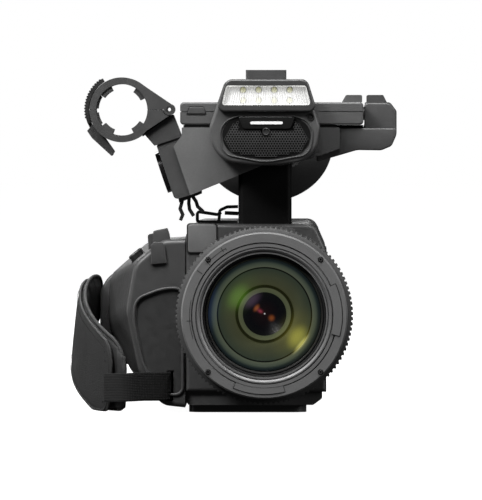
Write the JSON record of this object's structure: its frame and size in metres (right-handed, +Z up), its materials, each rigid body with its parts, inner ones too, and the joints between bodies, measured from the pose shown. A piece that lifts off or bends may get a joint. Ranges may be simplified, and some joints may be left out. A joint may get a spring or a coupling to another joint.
{
  "type": "camcorder",
  "caption": "Handheld camcorder with a ringed zoom lens, top handle, folding display, tilting viewfinder, microphone holder, lamp and hand strap.",
  "frame": {"origin": "mouth of the tripod thread, in the plane the camcorder stands on", "axes": "+Z up, -Y the way the lens looks, +X the operator's left side where the display folds out"},
  "size_m": [0.1983, 0.354, 0.2064],
  "materials": {
    "casing_plastic": "fine moulded texture, dark grey",
    "grip_plastic": "fine moulded texture, near black",
    "light_plastic": "fine moulded texture, mid grey",
    "black_plastic": "smooth black",
    "gloss_black": "gloss black",
    "ring_metal": "satin anodised grey",
    "lens_black": "matt black anodised",
    "soft_rubber": "matt rubber",
    "coated_glass": "polished, coated",
    "clear_window": "ribbed clear window",
    "screen": "gloss display",
    "circuit": "lacquered circuit board",
    "lamp_white": "white lamp board",
    "mesh_metal": "black perforated steel",
    "steel": "machined",
    "strap_leather": "fine grain, stitched",
    "strap_webbing": "woven webbing",
    "red_button": "red"
  },
  "bodies": {
    "root": {"accessory_shoe": "casing_plastic", "base_plate": "casing_plastic", "bottom_cover": "casing_plastic", "cable_hooks": "black_plastic", "cord_bracket": "black_plastic", "front_element": "coated_glass", "front_ring": "ring_metal", "front_ring_screws": "lens_black", "grip_front_cover": "grip_plastic", "grip_front_panel": "black_plastic", "grip_shell": "grip_plastic", "hand_strap_cover": "strap_leather", "hand_strap_pad": "strap_leather", "handle_bar": "casing_plastic", "handle_front_block": "casing_plastic", "handle_pillar": "black_plastic", "head_housing": "casing_plastic", "hinge_pins": "steel", "holder_pads_lower": "soft_rubber", "holder_post": "grip_plastic", "inner_element": "coated_glass", "input_box": "light_plastic", "input_panel": "casing_plastic", "input_sockets": "gloss_black", "lamp_bezel": "casing_plastic", "lamp_board": "lamp_white", "lamp_window": "clear_window", "lens_baffle": "lens_black", "lens_barrel": "lens_black", "main_board": "circuit", "main_shell": "casing_plastic", "mic_grille": "mesh_metal", "mic_holder_lower": "casing_plastic", "microphones": "steel", "rear_cover": "casing_plastic", "sensor_block": "circuit", "side_buttons": "black_plastic", "side_control_cover": "casing_plastic", "strap_lugs": "grip_plastic", "strap_webbing": "strap_webbing", "tripod_bush": "steel"},
    "focus": {"focus_ring": "soft_rubber"},
    "zoom": {"zoom_ring": "soft_rubber"},
    "iris": {"iris_ring": "soft_rubber"},
    "lcd_hinge": {"lcd_hinge_block": "casing_plastic"},
    "lcd": {"lcd_panel_shell": "casing_plastic", "lcd_screen": "screen"},
    "viewfinder": {"viewfinder_housing": "casing_plastic", "eyecup": "soft_rubber", "eyepiece_lens": "coated_glass"},
    "clamp": {"mic_holder_upper": "casing_plastic", "holder_pads_upper": "soft_rubber"},
    "latch": {"holder_latch": "black_plastic"},
    "battery_pack": {"battery": "black_plastic"},
    "rocker": {"zoom_rocker": "black_plastic"},
    "grip_rec": {"rec_button": "red_button"},
    "handle_rec": {"handle_rec_button": "red_button"},
    "dial": {"menu_dial": "black_plastic"},
    "nd_switch": {"nd_filter_switch": "black_plastic"},
    "door": {"card_door": "casing_plastic"}
  },
  "joints": [
    {"name": "focus_turn", "type": "hinge", "parent": "root", "child": "focus", "pos_m": [0, -0.13, 0.061], "axis": [0, 1, 0], "continuous": true},
    {"name": "zoom_turn", "type": "hinge", "parent": "root", "child": "zoom", "pos_m": [0, -0.106, 0.061], "axis": [0, 1, 0], "range_deg": [0, 80]},
    {"name": "iris_turn", "type": "hinge", "parent": "root", "child": "iris", "pos_m": [0, -0.092, 0.061], "axis": [0, 1, 0], "continuous": true},
    {"name": "lcd_fold", "type": "hinge", "parent": "root", "child": "lcd_hinge", "pos_m": [0.0694, -0.0415, 0.17], "axis": [0, 1, 0], "range_deg": [0, 180]},
    {"name": "lcd_tilt", "type": "hinge", "parent": "lcd_hinge", "child": "lcd", "pos_m": [0.055, -0.0415, 0.1804], "axis": [1, 0, 0], "range_deg": [0, 90]},
    {"name": "viewfinder_tilt", "type": "hinge", "parent": "root", "child": "viewfinder", "pos_m": [0, 0.121, 0.166], "axis": [1, 0, 0], "range_deg": [0, 80]},
    {"name": "holder_open", "type": "hinge", "parent": "root", "child": "clamp", "pos_m": [-0.0575, -0.071, 0.1828], "axis": [0, 1, 0], "range_deg": [0, 60]},
    {"name": "latch_open", "type": "hinge", "parent": "root", "child": "latch", "pos_m": [-0.103, -0.071, 0.1694], "axis": [0, 1, 0], "range_deg": [-90, 0]},
    {"name": "battery_slide", "type": "slide", "parent": "root", "child": "battery_pack", "axis": [0, 1, 0], "range_m": [0, 0.06]},
    {"name": "zoom_rock", "type": "hinge", "parent": "root", "child": "rocker", "pos_m": [-0.0775, -0.034, 0.0936], "axis": [-0.7664, 0, -0.6423], "range_deg": [-6, 6], "stiffness_Nm_per_rad": 0.02},
    {"name": "grip_rec_press", "type": "slide", "parent": "root", "child": "grip_rec", "axis": [0, -1, 0], "range_m": [0, 0.0015], "stiffness_N_per_m": 400, "springref_m": -0.0005},
    {"name": "handle_rec_press", "type": "slide", "parent": "root", "child": "handle_rec", "axis": [0, 0, -1], "range_m": [0, 0.0012], "stiffness_N_per_m": 400, "springref_m": -0.0005},
    {"name": "dial_turn", "type": "hinge", "parent": "root", "child": "dial", "pos_m": [0.04, 0.062, 0.042], "axis": [1, 0, 0], "continuous": true},
    {"name": "nd_slide", "type": "slide", "parent": "root", "child": "nd_switch", "axis": [0, 0, 1], "range_m": [0, 0.01]},
    {"name": "door_open", "type": "hinge", "parent": "root", "child": "door", "pos_m": [0.0396, 0.036, 0.07], "axis": [0, 0, 1], "range_deg": [0, 100]}
  ],
  "couplings": [
    {"joint": "lcd_tilt", "follows": "lcd_fold", "ratio": 0.5},
    {"joint": "latch_open", "follows": "holder_open", "ratio": -1.5}
  ]
}
